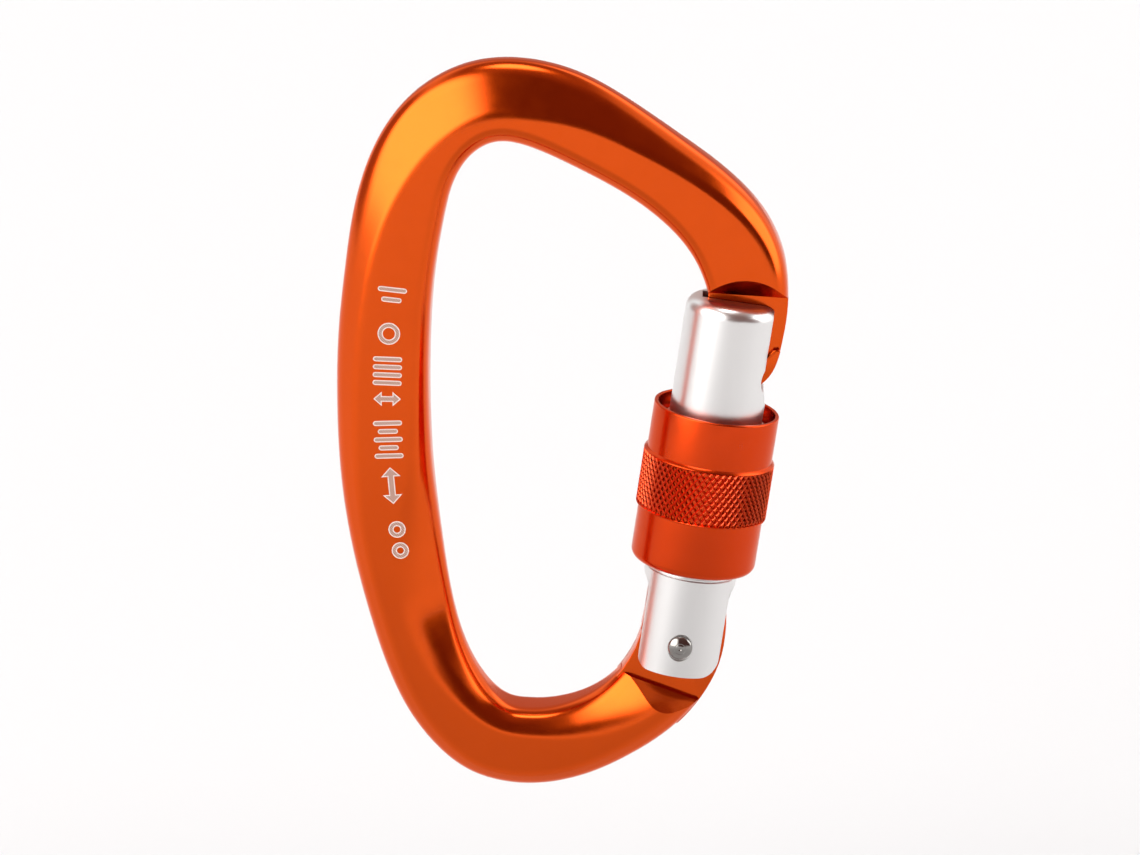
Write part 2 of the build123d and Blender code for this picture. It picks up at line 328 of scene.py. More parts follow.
def forged_bar():
    """The bar as a skin over many sections between the rows of the table."""
    rows, travel = bar_travel()
    at = np.linspace(0, travel[-1], STATIONS)
    edges = cubic(travel, rows[:, 0:4], at)
    flanks = np.stack([np.interp(at, travel, rows[:, k]) for k in range(4, 8)], 1)
    flanks = soften(flanks, FLANK_BLEND)
    vertices = []
    for edge, (outer_flank, inner_flank, outer_fall, inner_fall) in zip(edges, flanks):
        outer, inner = edge[0:2], edge[2:4]
        width = np.linalg.norm(inner - outer)
        across = (inner - outer) / width
        front = bar_section(width, outer_flank, inner_flank, outer_fall, inner_fall)
        ring = [(u, -v) for u, v in front] + [(u, v) for u, v in front[-2:0:-1]]
        for u, v in ring:
            x, z = outer + across * u
            vertices.append(drawn(x, v, z))
    return lofted("body_bar", vertices, STATIONS)


def milled_step(name, start, end, half_thick, shelf, rise):
    """Cutter that ends the bar in two curved walls meeting at the tongue's faces.

    The wall's foot runs from start to end on the gate axis grid, behind a shelf this wide.
    rise(place) is how far its edge on the bar's face lies beyond the foot, at a place that goes
    from -1 at start to 1 at end.
    """
    (ax, az), (bx, bz) = gate_point(*start), gate_point(*end)
    across = np.array([bx - ax, bz - az])
    half = np.linalg.norm(across) / 2
    across /= 2 * half
    up = np.array([-across[1], across[0]])
    base = np.array([(ax + bx) / 2, (az + bz) / 2])
    vertices = []
    foot = half_thick + shelf
    for along in np.linspace(-CUTTER_HALF_WIDTH, CUTTER_HALF_WIDTH, CUTTER_STOPS):
        height = rise(along / half)
        wall = [(foot + t * (HALF_DEPTH - foot), height * t ** WALL_CURVE)
                for t in (0.0, 0.1, 0.25, 0.45, 0.7, 1.0)]
        if shelf:
            wall.insert(0, (half_thick, -0.02))
        wall.append((HALF_DEPTH + 1.5, height * 1.3))
        profile = [(-wall[-1][0], -CUTTER_REACH)] + [(-y, h) for y, h in reversed(wall)]
        profile += wall + [(wall[-1][0], -CUTTER_REACH)]
        for depth, height in profile:
            x, z = base + across * along + up * height
            vertices.append(drawn(x, depth, z))
    return lofted(name, vertices, CUTTER_STOPS)


def nose_rise(place):
    """Shallow arch, highest over the middle of the tongue."""
    return max(2.95 - 1.75 * (place - 0.05) ** 2, 0.7)


def hinge_rise(place):
    """The same over the hinge tongue, a little lower."""
    return max(2.7 - 1.5 * (place + 0.1) ** 2, 0.9)


def outer_edge_between(first, last, count):
    """Points of the bar's outer edge between two section rows."""
    rows, travel = bar_travel()
    at = np.linspace(travel[first], travel[last], count)
    return [tuple(p) for p in cubic(travel, rows[:, 0:2], at)]


def arc_points(start, middle, end, count):
    """Points of a smooth bend through three places."""
    places = np.array([start, middle, end], float)
    knots = np.r_[0, np.cumsum(np.linalg.norm(np.diff(places, axis=0), axis=1))]
    return [tuple(p) for p in cubic(knots, places, np.linspace(0, knots[-1], count))]


def mill_ends(bar):
    """Mill both ends of the bar down to the thickness of their tongues."""
    nose_step = milled_step("nose_step", (48.77, -3.7), (49.62, 6.4), NOSE_HALF, 0.0, nose_rise)
    hinge_step = milled_step("hinge_step", (-8.2, 3.6), (-6.1, -6.5), HINGE_HALF, HINGE_SHELF,
                             hinge_rise)
    boolean(bar, nose_step, "DIFFERENCE")
    boolean(bar, hinge_step, "DIFFERENCE")


def add_nose(bar):
    """Thin nose, and the thicker catch on its end that the gate's slot closes over."""
    nose_edge = outer_edge_between(0, 3, 14)
    tip = arc_points(gate_point(37.4, 5.3), gate_point(38.6, 6.2), nose_edge[0], 8)[:-1]
    inside = [gate_point(54, -3.0), gate_point(48.8, -3.65), gate_point(46.2, -3.5),
              gate_point(43.6, -2.0), gate_point(41.0, 0.4), gate_point(38.6, 1.9),
              gate_point(37.3, 2.9)]
    nose = tip + nose_edge + [gate_point(54, 3)] + inside
    boolean(bar, prism("nose", nose, -NOSE_HALF, NOSE_HALF, NOSE_EDGE), "UNION")

    lip = [p for p in nose_edge if p[1] < gate_point(42.5, 7)[1]]
    catch = tip + lip + [gate_point(42.6, 6.9), gate_point(42.4, 6.2), gate_point(40.3, 4.85),
                         gate_point(39.6, 2.2), gate_point(37.6, 2.2), gate_point(37.3, 2.9)]
    boolean(bar, prism("catch", catch, -CATCH_HALF, CATCH_HALF, TONGUE_EDGE), "UNION")


def add_hinge_tongue(bar):
    """Tongue between the gate's fork, with a throat towards the lower bend and a knuckle on top."""
    heel = outer_edge_between(len(SECTIONS) - 4, len(SECTIONS) - 1, 14)
    throat = [(10.17, -29.05), (9.75, -30.3), (9.2, -31.85), (8.4, -33.4), (7.45, -34.9),
              (6.6, -36.0), (8.4, -38.0)]
    knuckle = [gate_point(4.0, 5.75), gate_point(5.2, 3.4), gate_point(6.1, 0.6),
               gate_point(6.9, -3.2), gate_point(6.4, -4.4), gate_point(5.6, -5.2),
               gate_point(0.4, -5.55)]
    tongue = heel[:-1] + knuckle + throat + [(9.0, -36.0), (11.5, -41.0)]
    boolean(bar, prism("tongue", tongue, -HINGE_HALF, HINGE_HALF, TONGUE_EDGE), "UNION")


def build_body():
    bar = forged_bar()
    mill_ends(bar)
    add_nose(bar)
    add_hinge_tongue(bar)
    bar.name = "body"
    smooth(bar, 30)
    return bar


# ---------------------------------------------------------------- turned pieces
def on_axis(radius, angle, s):
    """Point at a radius, angle and height about the gate axis, in metres of the frame."""
    side = Vector((AXIS.z, 0, -AXIS.x))
    back = Vector((0, 1, 0))
    out = side * math.cos(angle) + back * math.sin(angle)
    return PIVOT + (AXIS * s + out * radius) * MM


def turned(name, profile, around=192):
    """Closed profile of (radius, height) points turned about the gate axis."""
    vertices = []
    for i in range(around):
        angle = 2 * math.pi * i / around
        vertices += [on_axis(r, angle, s) for r, s in profile]
    return revolved(name, vertices, around)


# Sleeve and knurl: radii, sizes, and heights on the gate axis above the rivet.
SLEEVE_R = 8.55
SLEEVE_FOOT_ROUND = 1.1
SLEEVE_RIM_ROUND = 0.2
SLEEVE_BORE_ROUND = 0.12
SLEEVE_BORE = 8.02
SLEEVE_LAND = 7.28
SLEEVE_LOW = 10.5
SLEEVE_HIGH = 32.8
KNURL_LOW = 18.15
KNURL_HIGH = 26.1
KNURL_CREST = 9.0
KNURL_ROOT = KNURL_CREST - 0.3
KNURL_POINT_R = 8.78
KNURL_POINT_HEIGHT = 0.17
KNURL_POINT_TOP = 0.62
KNURL_AROUND = 62
KNURL_STRETCH = 1.5
KNURL_MARGIN = 0.6


def profile_corner(radius, height, size, start, end, steps):
    """Rounded corner of a turned profile whose sharp corner would be at this radius and height."""
    outwards = 1 if start < 90 else -1
    upwards = 1 if end > 0 else -1
    return arc(radius - outwards * size, height - upwards * size, size, start, end, steps)


def build_sleeve():
    """Thin tube with a rounded foot, a raised band for the knurl and a land at its lower end."""
    profile = profile_corner(SLEEVE_R, SLEEVE_LOW, SLEEVE_FOOT_ROUND, -90, 0, 10)
    profile += [(SLEEVE_R, KNURL_LOW - 0.05), (KNURL_CREST - 0.08, KNURL_LOW + 0.05)]
    profile += [(KNURL_CREST - 0.04, KNURL_LOW + 0.2), (KNURL_ROOT, KNURL_LOW + 0.42)]
    profile += [(KNURL_ROOT, KNURL_HIGH - 0.42), (KNURL_CREST - 0.04, KNURL_HIGH - 0.2)]
    profile += [(KNURL_CREST - 0.1, KNURL_HIGH - 0.08), (SLEEVE_R, KNURL_HIGH + 0.22)]
    profile += profile_corner(SLEEVE_R, SLEEVE_HIGH, SLEEVE_RIM_ROUND, 0, 90, 5)
    profile += profile_corner(SLEEVE_BORE, SLEEVE_HIGH, SLEEVE_BORE_ROUND, 90, 180, 4)
    profile += [(SLEEVE_BORE, 16.0), (SLEEVE_LAND, 15.9), (SLEEVE_LAND, SLEEVE_LOW + 0.4),
                (SLEEVE_LAND + 0.25, SLEEVE_LOW)]
    sleeve = turned("screw_sleeve", profile)
    smooth(sleeve, 24)
    return sleeve


def new_tree(name, inputs):
    """Geometry node tree with these (name, value) inputs, a finish and a geometry output."""
    tree = bpy.data.node_groups.new(name, "GeometryNodeTree")
    for label, value in inputs:
        kind = "NodeSocketInt" if isinstance(value, int) else "NodeSocketFloat"
        socket = tree.interface.new_socket(name=label, in_out="INPUT", socket_type=kind)
        socket.default_value = value
    tree.interface.new_socket(name="Finish", in_out="INPUT", socket_type="NodeSocketMaterial")
    tree.interface.new_socket(name="Geometry", in_out="OUTPUT", socket_type="NodeSocketGeometry")
    return tree


def maths(tree, operation, a, b=None):
    """Result of one sum on sockets or plain numbers."""
    node = tree.nodes.new("ShaderNodeMath")
    node.operation = operation
    for slot, value in zip(node.inputs, (a, b)):
        if value is None:
            continue
        if isinstance(value, (int, float)):
            slot.default_value = value
        else:
            tree.links.new(value, slot)
    return node.outputs[0]


def run_nodes(tree, name, values):
    """Evaluate a node tree on an empty mesh and return its result as a plain piece."""
    piece = bpy.data.objects.new(name, bpy.data.meshes.new(name))
    bpy.context.scene.collection.objects.link(piece)
    step = piece.modifiers.new(name, "NODES")
    step.node_group = tree
    for item in tree.interface.items_tree:
        if item.item_type == "SOCKET" and item.in_out == "INPUT" and item.name in values:
            step[item.identifier] = values[item.name]
    bake_modifiers(piece)
    return piece


def finish_and_output(tree, geometry, material_input):
    """End a tree with real geometry that carries its material."""
    solid = tree.nodes.new("GeometryNodeRealizeInstances")
    tree.links.new(geometry, solid.inputs[0])
    finish = tree.nodes.new("GeometryNodeSetMaterial")
    tree.links.new(solid.outputs[0], finish.inputs["Geometry"])
    tree.links.new(material_input, finish.inputs["Material"])
    tree.links.new(finish.outputs[0], tree.nodes.new("NodeGroupOutput").inputs[0])


def upright(piece):
    """Move a piece made about +Z, in metres from the rivet, onto the gate axis."""
    place = Matrix.Translation(PIVOT) @ Matrix.Rotation(LEAN, 4, "Y")
    piece.data.transform(place)
    return piece


def knurl_tree():
    """Diamond points in staggered rows round a cylinder."""
    tree = new_tree("diamond_knurl", (
        ("Around", 64), ("Rows", 17), ("Radius", 0.0087), ("Low", 0.0184), ("Row gap", 0.00043),
        ("Point height", 0.0003), ("Point radius", 0.0004), ("Point stretch", 1.5)))
    nodes, links = tree.nodes, tree.links
    given = nodes.new("NodeGroupInput").outputs
    total = maths(tree, "MULTIPLY", given["Around"], given["Rows"])
    line = nodes.new("GeometryNodePoints")
    links.new(total, line.inputs["Count"])
    index = nodes.new("GeometryNodeInputIndex").outputs[0]
    shifted = maths(tree, "ADD", index, 0.5)
    row = maths(tree, "FLOOR", maths(tree, "DIVIDE", shifted, given["Around"]))
    column = maths(tree, "SUBTRACT", index, maths(tree, "MULTIPLY", row, given["Around"]))
    stagger = maths(tree, "MULTIPLY", maths(tree, "MODULO", row, 2.0), 0.5)
    turn = maths(tree, "DIVIDE", maths(tree, "ADD", column, stagger), given["Around"])
    angle = maths(tree, "MULTIPLY", turn, 2 * math.pi)
    height = maths(tree, "ADD", given["Low"], maths(tree, "MULTIPLY", row, given["Row gap"]))
    place = nodes.new("ShaderNodeCombineXYZ")
    links.new(maths(tree, "MULTIPLY", maths(tree, "COSINE", angle), given["Radius"]), place.inputs[0])
    links.new(maths(tree, "MULTIPLY", maths(tree, "SINE", angle), given["Radius"]), place.inputs[1])
    links.new(height, place.inputs[2])
    spread = nodes.new("GeometryNodeSetPosition")
    links.new(line.outputs[0], spread.inputs["Geometry"])
    links.new(place.outputs[0], spread.inputs["Position"])
    point = nodes.new("GeometryNodeMeshCone")
    point.fill_type = "NONE"
    point.inputs["Vertices"].default_value = 4
    links.new(given["Point height"], point.inputs["Depth"])
    links.new(given["Point radius"], point.inputs["Radius Bottom"])
    links.new(maths(tree, "MULTIPLY", given["Point radius"], KNURL_POINT_TOP),
              point.inputs["Radius Top"])
    tip = nodes.new("GeometryNodeTransform")
    tip.inputs["Rotation"].default_value = (0, math.pi / 2, 0)
    links.new(point.outputs["Mesh"], tip.inputs["Geometry"])
    stretch = nodes.new("ShaderNodeCombineXYZ")
    stretch.inputs[0].default_value = 1.0
    stretch.inputs[1].default_value = 1.0
    links.new(given["Point stretch"], stretch.inputs[2])
    diamond = nodes.new("GeometryNodeTransform")
    links.new(tip.outputs[0], diamond.inputs["Geometry"])
    links.new(stretch.outputs[0], diamond.inputs["Scale"])
    facing = nodes.new("ShaderNodeCombineXYZ")
    links.new(angle, facing.inputs[2])
    spin = nodes.new("FunctionNodeEulerToRotation")
    links.new(facing.outputs[0], spin.inputs[0])
    repeat = nodes.new("GeometryNodeInstanceOnPoints")
    links.new(spread.outputs[0], repeat.inputs["Points"])
    links.new(diamond.outputs[0], repeat.inputs["Instance"])
    links.new(spin.outputs[0], repeat.inputs["Rotation"])
    finish_and_output(tree, repeat.outputs[0], given["Finish"])
    return tree


def build_knurl(finish):
    """As many rows of points as the band holds, centred between its rims."""
    pitch = 2 * math.pi * KNURL_ROOT / KNURL_AROUND
    gap = KNURL_STRETCH * pitch / 2
    rows = int((KNURL_HIGH - KNURL_LOW - KNURL_MARGIN) / gap)
    low = (KNURL_LOW + KNURL_HIGH - (rows - 1) * gap) / 2
    knurl = run_nodes(knurl_tree(), "sleeve_knurl", {
        "Around": KNURL_AROUND, "Rows": rows, "Radius": KNURL_POINT_R * MM, "Low": low * MM,
        "Row gap": gap * MM, "Point height": KNURL_POINT_HEIGHT * MM,
        "Point radius": 0.5 * pitch * MM, "Point stretch": KNURL_STRETCH, "Finish": finish})
    return upright(knurl)


# ---------------------------------------------------------------- gate
# Gate, thread and spring: radii, widths, and heights on the gate axis above the rivet.
BARREL_R = 6.35
GATE_HIGH = 48.2
GATE_LOW = -4.2
TOP_ROUND = 1.9
STEP_R = 6.5
THREAD_R = 7.2
THREAD_ROOT = 6.88
THREAD_LOW = 12.0
THREAD_HIGH = 31.3
THREAD_PITCH = 1.0
THREAD_WIRE = 0.36
THREAD_INSET = 0.07
SPRING_R = 1.63
SPRING_WIRE = 0.25
SPRING_LOW = 13.53
SPRING_HIGH = 26.97
SPRING_PITCH = 1.35
FORK_SLOT = 4.8
FORK_ROOF = 7.75
NOSE_SLOT = 3.4
HEAD_POCKET = 5.2
POCKET_FLOOR = 36.4
HEAD_POCKET_ROOF = 42.0
CLEAR_OF_GATE = 15


def gate_prism(name, outline, half_depth):
    """Plate through the gate; its outline is (offset, height) on the gate axis."""
    return prism(name, [gate_point(s, q) for q, s in outline], -half_depth, half_depth)


def gate_side_view():
    """Side outline of the gate: rounded fork foot, side flats and the scoops above them."""
    view = arc(-3.95, GATE_LOW + 1.45, 1.45, 180, 270)
    view += arc(3.3, GATE_LOW + 2.3, 2.3, 270, 360)
    view += [(5.62, 6.2)] + arc(8.6, 6.4, 3.0, 176, 118, 6)
    view += [(7.6, 10.2), (9, 10.4), (9, 50), (-9, 50), (-9, 10.4), (-7.5, 10.2)]
    view += arc(-8.4, 6.4, 3.0, 62, 4, 6) + [(-5.4, 6.2)]
    return view


def cross_turned(name, profile, around=96):
    """Closed profile of (radius, depth) points turned about the rivet's own axis."""
    vertices = []
    for i in range(around):
        angle = 2 * math.pi * i / around
        for radius, depth in profile:
            vertices.append((PIVOT.x + radius * MM * math.cos(angle), depth * MM,
                             PIVOT.z + radius * MM * math.sin(angle)))
    return revolved(name, vertices, around)


def gate_barrel():
    """Turned barrel with the groove and the step under its collar, and a rounded top."""
    groove = BARREL_R - 0.12
    profile = [(0, GATE_LOW - 0.5), (BARREL_R, GATE_LOW - 0.5), (BARREL_R, 9.55), (groove, 9.7),
               (groove, 9.85), (STEP_R - 0.1, 9.95), (STEP_R, 10.05), (STEP_R, THREAD_LOW),
               (THREAD_ROOT - 0.25, THREAD_LOW + 0.05), (THREAD_ROOT, THREAD_LOW + 0.3),
               (THREAD_ROOT, THREAD_HIGH - 0.3), (THREAD_ROOT - 0.25, THREAD_HIGH - 0.05),
               (BARREL_R, THREAD_HIGH)]
    profile += arc(BARREL_R - TOP_ROUND, GATE_HIGH - TOP_ROUND, TOP_ROUND, 0, 90, 12)
    profile.append((0, GATE_HIGH))
    return turned("screw_gate", profile)


def rivet_bore():
    """Cutter for the rivet's bore and for the seat of its head on each side."""
    seat = [(1.42, 6.08), (1.74, 6.08), (1.74, 6.15), (1.95, 6.36), (1.95, 9), (0, 9)]
    return cross_turned("rivet_bore", [(r, -y) for r, y in reversed(seat)] + seat)


def build_gate():
    gate = gate_barrel()
    far = CLEAR_OF_GATE
    boolean(gate, gate_prism("side_view", gate_side_view(), far), "INTERSECT")
    nose_flat = [(5.55, 55), (5.5, 41.5)] + arc(8.6, 38.2, 3.4, 155, 218)
    nose_flat += [(6.3, 34.2), (9, 34), (9, 55)]
    boolean(gate, gate_prism("nose_flat", nose_flat, far), "DIFFERENCE")
    fork_slot = [(-far, -20), (far, -20), (far, FORK_ROOF), (-far, FORK_ROOF)]
    boolean(gate, gate_prism("fork_slot", fork_slot, FORK_SLOT / 2), "DIFFERENCE")
    nose_slot = [(-4.35, POCKET_FLOOR), (far, POCKET_FLOOR), (far, 60), (-4.35, 60)]
    boolean(gate, gate_prism("nose_slot", nose_slot, NOSE_SLOT / 2), "DIFFERENCE")
    head_pocket = [(1.4, POCKET_FLOOR), (far, POCKET_FLOOR), (far, HEAD_POCKET_ROOF),
                   (1.4, HEAD_POCKET_ROOF)]
    boolean(gate, gate_prism("head_pocket", head_pocket, HEAD_POCKET / 2), "DIFFERENCE")
    boolean(gate, rivet_bore(), "DIFFERENCE")
    smooth(gate, 30)
    return gate


def build_rivet():
    """Domed rivet with a centre mark and a faint ring on each head."""
    face = [(0, 6.75), (0.14, 6.75), (0.24, 6.83), (0.62, 6.815), (0.66, 6.785), (0.74, 6.78),
            (0.78, 6.795), (1.1, 6.68), (1.4, 6.51), (1.56, 6.37), (1.64, 6.25), (1.68, 6.09)]
    profile = [(r, -y) for r, y in face] + [(1.4, -6.09), (1.4, 6.09)] + list(reversed(face))
    rivet = cross_turned("rivet", profile)
    smooth(rivet, 40)
    return rivet


def helix_tree():
    """Round wire wound about +Z."""
    tree = new_tree("wound_wire", (("Turns", 10.0), ("Radius", 0.007), ("Low", 0.012),
                                   ("Length", 0.01), ("Wire", 0.0003)))
    nodes, links = tree.nodes, tree.links
    given = nodes.new("NodeGroupInput").outputs
    helix = nodes.new("GeometryNodeCurveSpiral")
    helix.inputs["Resolution"].default_value = 72
    links.new(given["Turns"], helix.inputs["Rotations"])
    links.new(given["Radius"], helix.inputs["Start Radius"])
    links.new(given["Radius"], helix.inputs["End Radius"])
    links.new(given["Length"], helix.inputs["Height"])
    wire = nodes.new("GeometryNodeCurvePrimitiveCircle")
    wire.inputs["Resolution"].default_value = 10
    links.new(given["Wire"], wire.inputs["Radius"])
    sweep = nodes.new("GeometryNodeCurveToMesh")
    sweep.inputs["Fill Caps"].default_value = True
    links.new(helix.outputs["Curve"], sweep.inputs["Curve"])
    links.new(wire.outputs["Curve"], sweep.inputs["Profile Curve"])
    lift = nodes.new("ShaderNodeCombineXYZ")
    links.new(given["Low"], lift.inputs[2])
    move = nodes.new("GeometryNodeSetPosition")
    links.new(sweep.outputs["Mesh"], move.inputs["Geometry"])
    links.new(lift.outputs[0], move.inputs["Offset"])
    finish_and_output(tree, move.outputs["Geometry"], given["Finish"])
    return tree


def wound(name, wire, outside, low, high, pitch, finish):
    """Helix of wire with this radius, between two heights on the gate axis, its ends closed."""
    length = high - low - 2 * wire
    piece = run_nodes(helix_tree(), name, {
        "Turns": length / pitch, "Radius": (outside - wire) * MM, "Low": (low + wire) * MM,
        "Length": length * MM, "Wire": wire * MM, "Finish": finish})
    smooth(piece, 60)
    return upright(piece)


# ---------------------------------------------------------------- marks on the spine
# Depths of the marks from the bar's middle, and their widths.
MARK_LOW = HALF_DEPTH - 0.06
MARK_HIGH = HALF_DEPTH + 0.015
MARK_FILL = HALF_DEPTH + 0.005
MARK_LINE = 0.14
MARK_STROKE = 0.56
MARK_MITRE = 0.35

# The row of marks: its middle across and along the spine, and how much it bows with the spine.
MARKS_X = -24.35
MARKS_Z = 3.6
MARKS_BOW = 0.0073
UPPER_BOW_SHARE = 0.95


def ribbon(path, width, high):
    """Vertices and faces of a thin bar of this width that follows a closed path on the face."""
    points = [np.array(p, float) for p in path]
    count = len(points)
    vertices, faces = [], []
    for i, point in enumerate(points):
        into = point - points[i - 1]
        out = points[(i + 1) % count] - point
        into = into / np.linalg.norm(into)
        out = out / np.linalg.norm(out)
        travel = (into + out) / np.linalg.norm(into + out)
        side = np.array([-travel[1], travel[0]]) * width / 2 / max(travel @ out, MARK_MITRE)
        left, right = point + side, point - side
        for (x, z), depth in ((left, high), (right, high), (right, MARK_LOW), (left, MARK_LOW)):
            vertices.append(drawn(x, -depth, z))
    for i in range(count):
        a, b = 4 * i, 4 * ((i + 1) % count)
        for j in range(4):
            k = (j + 1) % 4
            faces.append((a + j, b + j, b + k, a + k))
    return vertices, faces


def circle(radius, steps=40):
    angles = [2 * math.pi * i / steps for i in range(steps)]
    return [(radius * math.cos(a), radius * math.sin(a)) for a in angles]


def double_arrow(half, head, barb, shaft):
    """Arrow with two heads: half its length, a head's length, and half the two widths."""
    return [(half, 0), (half - head, barb), (half - head, shaft), (head - half, shaft),
            (head - half, barb), (-half, 0), (head - half, -barb), (head - half, -shaft),
            (half - head, -shaft), (half - head, -barb)]


def bar_outline(half, place):
    """Narrow bar with round ends across the spine, at this place along it."""
    r = MARK_STROKE / 2
    right = arc(half - r, place, r, -90, 90, 6)
    left = arc(r - half, place, r, 90, 270, 6)
    return right + left


# Plain symbols by their height on the spine: outlines about their own middle, the first number
# across the spine and the second along it.
SYMBOLS = [
    (18.4, [bar_outline(1.9, 1.0), bar_outline(1.3, -0.4)]),
    (8.1, [bar_outline(1.9, 1.65), bar_outline(1.9, 0.55), bar_outline(1.9, -0.55),
           bar_outline(1.9, -1.65)]),
    (4.2, [double_arrow(1.75, 0.95, 0.85, 0.32)]),
    (-1.5, [bar_outline(1.9, 2.3), bar_outline(1.3, 1.15), bar_outline(1.9, 0.0),
            bar_outline(1.3, -1.15), bar_outline(1.9, -2.3)]),
    (-8.0, [[(z, x) for x, z in double_arrow(2.5, 1.15, 1.15, 0.38)]]),
]

# Rings between them: height on the spine and outer radius.
RINGS = [(13.3, 1.45), (-14.2, 1.1), (-17.2, 1.1)]


def spine_middle(z):
    """Middle of the row of marks at this height, and the spine's slope there."""
    share = 1.0 if z < MARKS_Z else UPPER_BOW_SHARE
    x = MARKS_X + MARKS_BOW / 2 * (z - MARKS_Z) ** 2 * share
    return x, MARKS_BOW * (z - MARKS_Z)


def placed(outline, height):
    """An outline turned and moved onto the spine at this height."""
    x0, slope = spine_middle(height)
    turn = math.atan(slope)
    ca, sa = math.cos(turn), math.sin(turn)
    return [(x0 + u * ca + v * sa, height - u * sa + v * ca) for u, v in outline]


def build_marks(pale, hatch):
    """Hatched symbols, each with a pale line round it."""
    lines = [placed(outline, height) for height, outlines in SYMBOLS for outline in outlines]
    fills = [prism("mark_fill", line, -MARK_FILL, -MARK_LOW) for line in lines]
    for height, radius in RINGS:
        lines += [placed(circle(radius), height), placed(circle(radius - MARK_STROKE), height)]
        middle = placed(circle(radius - MARK_STROKE / 2), height)
        fills.append(new_piece("mark_fill", *ribbon(middle, MARK_STROKE, MARK_FILL)))
    borders = [new_piece("mark_line", *ribbon(line, MARK_LINE, MARK_HIGH)) for line in lines]
    for pieces, finish in ((borders, pale), (fills, hatch)):
        for piece in pieces:
            piece.data.materials.append(finish)
    return joined("spine_marks", borders + fills)


def joined(name, pieces):
    """One piece from several, each keeping its material."""
    with bpy.context.temp_override(active_object=pieces[0], selected_editable_objects=pieces,
                                   selected_objects=pieces, object=pieces[0]):
        bpy.ops.object.join()
    pieces[0].name = name
    return pieces[0]


# ---------------------------------------------------------------- materials
NOISE_LOW = 0.3
NOISE_HIGH = 0.7
GRAIN_DEPTH = 0.00001


def material(name):
    """New material, its node tree and its shader."""
    finish = bpy.data.materials.new(name)
    finish.use_nodes = True
    tree = finish.node_tree
    return finish, tree, tree.nodes["Principled BSDF"]


def noise(tree, scale, detail):
    """Cloudy value on the piece's own coordinates, finer with a larger scale."""
    place = tree.nodes.new("ShaderNodeTexCoord")
    field = tree.nodes.new("ShaderNodeTexNoise")
    field.inputs["Scale"].default_value = scale
    field.inputs["Detail"].default_value = detail
    tree.links.new(place.outputs["Object"], field.inputs["Vector"])
    return field.outputs["Fac"]


def spread_value(tree, source, low, high):
    """Stretch a cloudy value so that most of it lies between low and high."""
    ramp = tree.nodes.new("ShaderNodeMapRange")
    ramp.clamp = False
    ramp.inputs["From Min"].default_value = NOISE_LOW
    ramp.inputs["From Max"].default_value = NOISE_HIGH
    ramp.inputs["To Min"].default_value = low
    ramp.inputs["To Max"].default_value = high
    tree.links.new(source, ramp.inputs["Value"])
    return ramp.outputs["Result"]


def blend_colour(tree, source, dark, light):
    """Colour that goes from dark to light as the source goes from 0 to 1."""
    mix = tree.nodes.new("ShaderNodeMix")
    mix.data_type = "RGBA"
    mix.inputs["A"].default_value = (*dark, 1)
    mix.inputs["B"].default_value = (*light, 1)
    tree.links.new(source, mix.inputs["Factor"])
    return mix.outputs["Result"]


def roughen(tree, shader, source, strength, depth):
    """Bump of this depth in metres."""
    bump = tree.nodes.new("ShaderNodeBump")
    bump.inputs["Strength"].default_value = strength
    bump.inputs["Distance"].default_value = depth
    tree.links.new(source, bump.inputs["Height"])
    tree.links.new(bump.outputs["Normal"], shader.inputs["Normal"])


def anodised(name, dark, light, rough, grain):
    """Dyed, sealed aluminium: a coloured metal with a fine blasted grain under a clear gloss."""
    finish, tree, shader = material(name)
    shader.inputs["Metallic"].default_value = 1.0
    tone = noise(tree, 90, 4)
    tree.links.new(blend_colour(tree, tone, dark, light), shader.inputs["Base Color"])
    tree.links.new(spread_value(tree, noise(tree, 400, 2), rough * 0.88, rough * 1.12),
                   shader.inputs["Roughness"])
    shader.inputs["Specular Tint"].default_value = (1.0, 0.7, 0.6, 1)
    shader.inputs["Coat Weight"].default_value = 0.15
    shader.inputs["Coat Roughness"].default_value = 0.08
    roughen(tree, shader, noise(tree, 2600, 2), grain, GRAIN_DEPTH)
    return finish


def satin_silver():
    """Bare aluminium with an even satin surface."""
    finish, tree, shader = material("satin_silver")
    shader.inputs["Metallic"].default_value = 1.0
    tree.links.new(blend_colour(tree, noise(tree, 60, 1), (0.78, 0.765, 0.755), (0.81, 0.80, 0.79)),
                   shader.inputs["Base Color"])
    shader.inputs["Roughness"].default_value = 0.29
    return finish


def bright_steel(name, colour, rough):
    """Polished metal with a slight change of tone and gloss over its surface."""
    finish, tree, shader = material(name)
    shader.inputs["Metallic"].default_value = 1.0
    tree.links.new(blend_colour(tree, noise(tree, 900, 3), tuple(0.9 * c for c in colour), colour),
                   shader.inputs["Base Color"])
    tree.links.new(spread_value(tree, noise(tree, 1500, 2), rough * 0.8, rough * 1.2),
                   shader.inputs["Roughness"])
    return finish


def etched(name, dark, light, lines):
    """Bare metal left by the engraving, with the fine parallel lines of the tool."""
    finish, tree, shader = material(name)
    shader.inputs["Metallic"].default_value = 0.3
    shader.inputs["Roughness"].default_value = 0.55
    place = tree.nodes.new("ShaderNodeTexCoord")
    hatch = tree.nodes.new("ShaderNodeTexWave")
    hatch.bands_direction = "DIAGONAL"
    hatch.inputs["Scale"].default_value = lines
    hatch.inputs["Distortion"].default_value = 0.6
    tree.links.new(place.outputs["Object"], hatch.inputs["Vector"])
    tree.links.new(blend_colour(tree, hatch.outputs["Fac"], dark, light), shader.inputs["Base Color"])
    return finish


def nylon():
    """Matte off-white plastic."""
    finish, tree, shader = material("nylon")
    tree.links.new(blend_colour(tree, noise(tree, 600, 2), (0.74, 0.71, 0.64), (0.80, 0.78, 0.72)),
                   shader.inputs["Base Color"])
    shader.inputs["Roughness"].default_value = 0.5
    return finish


